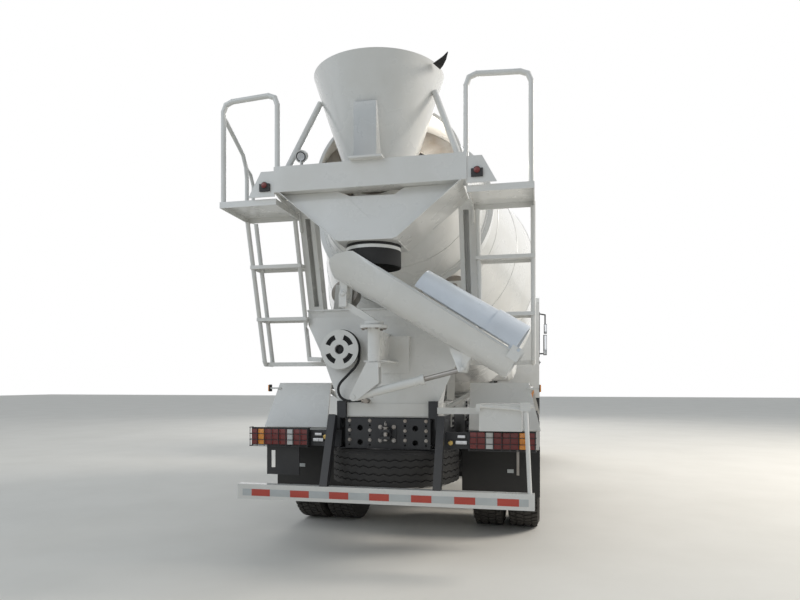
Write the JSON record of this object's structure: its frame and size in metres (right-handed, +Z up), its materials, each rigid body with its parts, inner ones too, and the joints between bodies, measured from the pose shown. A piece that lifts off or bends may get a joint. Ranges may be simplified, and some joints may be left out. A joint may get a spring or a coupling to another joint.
{
  "type": "concrete mixer truck",
  "caption": "Concrete mixer truck: cab over chassis, tilted mixing drum on rollers, charging hopper, collector, swinging discharge chute with folding extension, ladders and rear guard.",
  "frame": {"origin": "on the ground below the middle of the vehicle's bounding box", "axes": "+Y forward, from the chute to the cab; +X to the vehicle's right; +Z up"},
  "size_m": [2.8, 9.1864, 3.8425],
  "materials": {
    "white_paint": "glossy cream white paint, a little worn",
    "chassis_black": "satin black paint",
    "black_plastic": "grained black plastic",
    "rubber": "matt black rubber",
    "tyre": "matt black tyre rubber",
    "rim_grey": "silver grey paint",
    "engine_grey": "dull grey",
    "tank_aluminium": "satin aluminium",
    "lamp_red": "glossy red lens",
    "bare_steel": "worn bare steel",
    "chute_grey": "light grey paint, worn shiny",
    "interior_fabric": "dark grey cloth",
    "glass": "clear tinted glass"
  },
  "bodies": {
    "chassis": {"frame": "chassis_black", "tow_jaw": "chassis_black", "tow_eyes": "chassis_black", "subframe": "white_paint", "rear_stand": "white_paint", "ladders": "white_paint", "collector": "white_paint", "hopper": "white_paint", "rubber_parts": "rubber", "front_stand": "white_paint", "water_tank": "white_paint", "drivetrain": "engine_grey", "axles": "chassis_black", "fuel_tank": "tank_aluminium", "side_boxes": "chassis_black", "air_intake": "black_plastic", "bumper": "white_paint", "lamps": "lamp_red", "rear_guard": "white_paint", "fenders": "white_paint", "spare_tyre": "tyre", "spare_rim": "rim_grey", "hose_reel": "white_paint", "hose_coil": "rubber", "water_hose": "rubber", "water_outlet": "bare_steel", "chute_post": "white_paint"},
    "steer_knuckle_left": {"knuckle_left": "chassis_black"},
    "steer_knuckle_right": {"knuckle_right": "chassis_black"},
    "track_rod": {"tie_rod": "chassis_black"},
    "front_wheel_left": {"front_tyre_left": "tyre", "front_rim_left": "rim_grey"},
    "front_wheel_right": {"front_tyre_right": "tyre", "front_rim_right": "rim_grey"},
    "mid_wheels_left": {"mid_tyres_left": "tyre", "mid_rims_left": "rim_grey"},
    "mid_wheels_right": {"mid_tyres_right": "tyre", "mid_rims_right": "rim_grey"},
    "rear_wheels_left": {"rear_tyres_left": "tyre", "rear_rims_left": "rim_grey"},
    "rear_wheels_right": {"rear_tyres_right": "tyre", "rear_rims_right": "rim_grey"},
    "drum": {"drum_shell": "white_paint", "drum_blades": "bare_steel"},
    "support_roller_left": {"roller_left": "bare_steel"},
    "support_roller_right": {"roller_right": "bare_steel"},
    "swing_arm": {"chute_arm": "white_paint"},
    "chute": {"main_chute": "white_paint"},
    "extension": {"fold_chute": "chute_grey"},
    "jack_tube": {"jack_body": "white_paint"},
    "jack_piston": {"jack_rod": "bare_steel"},
    "cab": {"cab_shell": "white_paint", "cab_glass": "glass", "cab_interior": "interior_fabric", "cab_trim": "black_plastic"},
    "flap": {"front_flap": "white_paint"},
    "left_door": {"door_left": "white_paint", "door_glass_left": "glass"},
    "right_door": {"door_right": "white_paint", "door_glass_right": "glass"}
  },
  "joints": [
    {"name": "drum_spin", "type": "hinge", "parent": "chassis", "child": "drum", "pos_m": [0, -3.783, 3.218], "axis": [0, 0.9641, -0.2656], "continuous": true},
    {"name": "roller_left_spin", "type": "hinge", "parent": "chassis", "child": "support_roller_left", "pos_m": [-0.50475, -3.32071, 2.25282], "axis": [0, 0.9641, -0.2656], "continuous": true},
    {"name": "roller_right_spin", "type": "hinge", "parent": "chassis", "child": "support_roller_right", "pos_m": [0.50475, -3.32071, 2.25282], "axis": [0, 0.9641, -0.2656], "continuous": true},
    {"name": "steer_left", "type": "hinge", "parent": "chassis", "child": "steer_knuckle_left", "pos_m": [-0.815, 3.025, 0.55], "axis": [0, 0, 1], "range_deg": [-35, 35]},
    {"name": "steer_right", "type": "hinge", "parent": "chassis", "child": "steer_knuckle_right", "pos_m": [0.815, 3.025, 0.55], "axis": [0, 0, 1], "range_deg": [-36, 36]},
    {"name": "tie_rod_pivot", "type": "hinge", "parent": "steer_knuckle_left", "child": "track_rod", "pos_m": [-0.815, 2.79, 0.452], "axis": [0, 0, 1], "range_deg": [-36, 36]},
    {"name": "front_wheel_left_spin", "type": "hinge", "parent": "steer_knuckle_left", "child": "front_wheel_left", "pos_m": [-1.011, 3.025, 0.55], "axis": [1, 0, 0], "continuous": true},
    {"name": "mid_wheels_left_spin", "type": "hinge", "parent": "chassis", "child": "mid_wheels_left", "pos_m": [-0.915, -1, 0.55], "axis": [1, 0, 0], "continuous": true},
    {"name": "rear_wheels_left_spin", "type": "hinge", "parent": "chassis", "child": "rear_wheels_left", "pos_m": [-0.915, -2.35, 0.55], "axis": [1, 0, 0], "continuous": true},
    {"name": "front_wheel_right_spin", "type": "hinge", "parent": "steer_knuckle_right", "child": "front_wheel_right", "pos_m": [1.011, 3.025, 0.55], "axis": [1, 0, 0], "continuous": true},
    {"name": "mid_wheels_right_spin", "type": "hinge", "parent": "chassis", "child": "mid_wheels_right", "pos_m": [0.915, -1, 0.55], "axis": [1, 0, 0], "continuous": true},
    {"name": "rear_wheels_right_spin", "type": "hinge", "parent": "chassis", "child": "rear_wheels_right", "pos_m": [0.915, -2.35, 0.55], "axis": [1, 0, 0], "continuous": true},
    {"name": "chute_swing", "type": "hinge", "parent": "chassis", "child": "swing_arm", "pos_m": [-0.01, -4.2, 1.7], "axis": [0, 0, 1], "range_deg": [-180, 0]},
    {"name": "chute_lift", "type": "hinge", "parent": "swing_arm", "child": "chute", "pos_m": [-0.241, -4.2, 2.12], "axis": [0, -1, 0], "range_deg": [-12, 14]},
    {"name": "jack_tilt", "type": "hinge", "parent": "swing_arm", "child": "jack_tube", "pos_m": [-0.159, -4.2, 1.331], "axis": [0, -1, 0], "range_deg": [-12, 14]},
    {"name": "jack_slide", "type": "slide", "parent": "jack_tube", "child": "jack_piston", "axis": [0.9699, 0, 0.2434], "range_m": [-0.19, 0.215]},
    {"name": "chute_fold", "type": "hinge", "parent": "chute", "child": "extension", "pos_m": [1.08397, -4.2, 1.66774], "axis": [0, 1, 0], "range_deg": [0, 180]},
    {"name": "cab_tilt", "type": "hinge", "parent": "chassis", "child": "cab", "pos_m": [0, 4.43, 1.18], "axis": [-1, 0, 0], "range_deg": [0, 45]},
    {"name": "door_left_swing", "type": "hinge", "parent": "cab", "child": "left_door", "pos_m": [-1.229, 4.193, 1.8], "axis": [0, 0, -1], "range_deg": [0, 65]},
    {"name": "door_right_swing", "type": "hinge", "parent": "cab", "child": "right_door", "pos_m": [1.229, 4.193, 1.8], "axis": [0, 0, 1], "range_deg": [0, 65]},
    {"name": "front_flap_lift", "type": "hinge", "parent": "cab", "child": "flap", "pos_m": [0, 4.484, 1.914], "axis": [1, 0, 0], "range_deg": [0, 80]}
  ],
  "couplings": [
    {"joint": "roller_left_spin", "follows": "drum_spin", "ratio": -6.616},
    {"joint": "roller_right_spin", "follows": "drum_spin", "ratio": -6.616},
    {"joint": "steer_right", "follows": "steer_left", "ratio": 1},
    {"joint": "tie_rod_pivot", "follows": "steer_left", "ratio": -1},
    {"joint": "jack_tilt", "follows": "chute_lift", "ratio": 0.8738},
    {"joint": "jack_slide", "follows": "chute_lift", "m_per_rad": 0.7791}
  ]
}
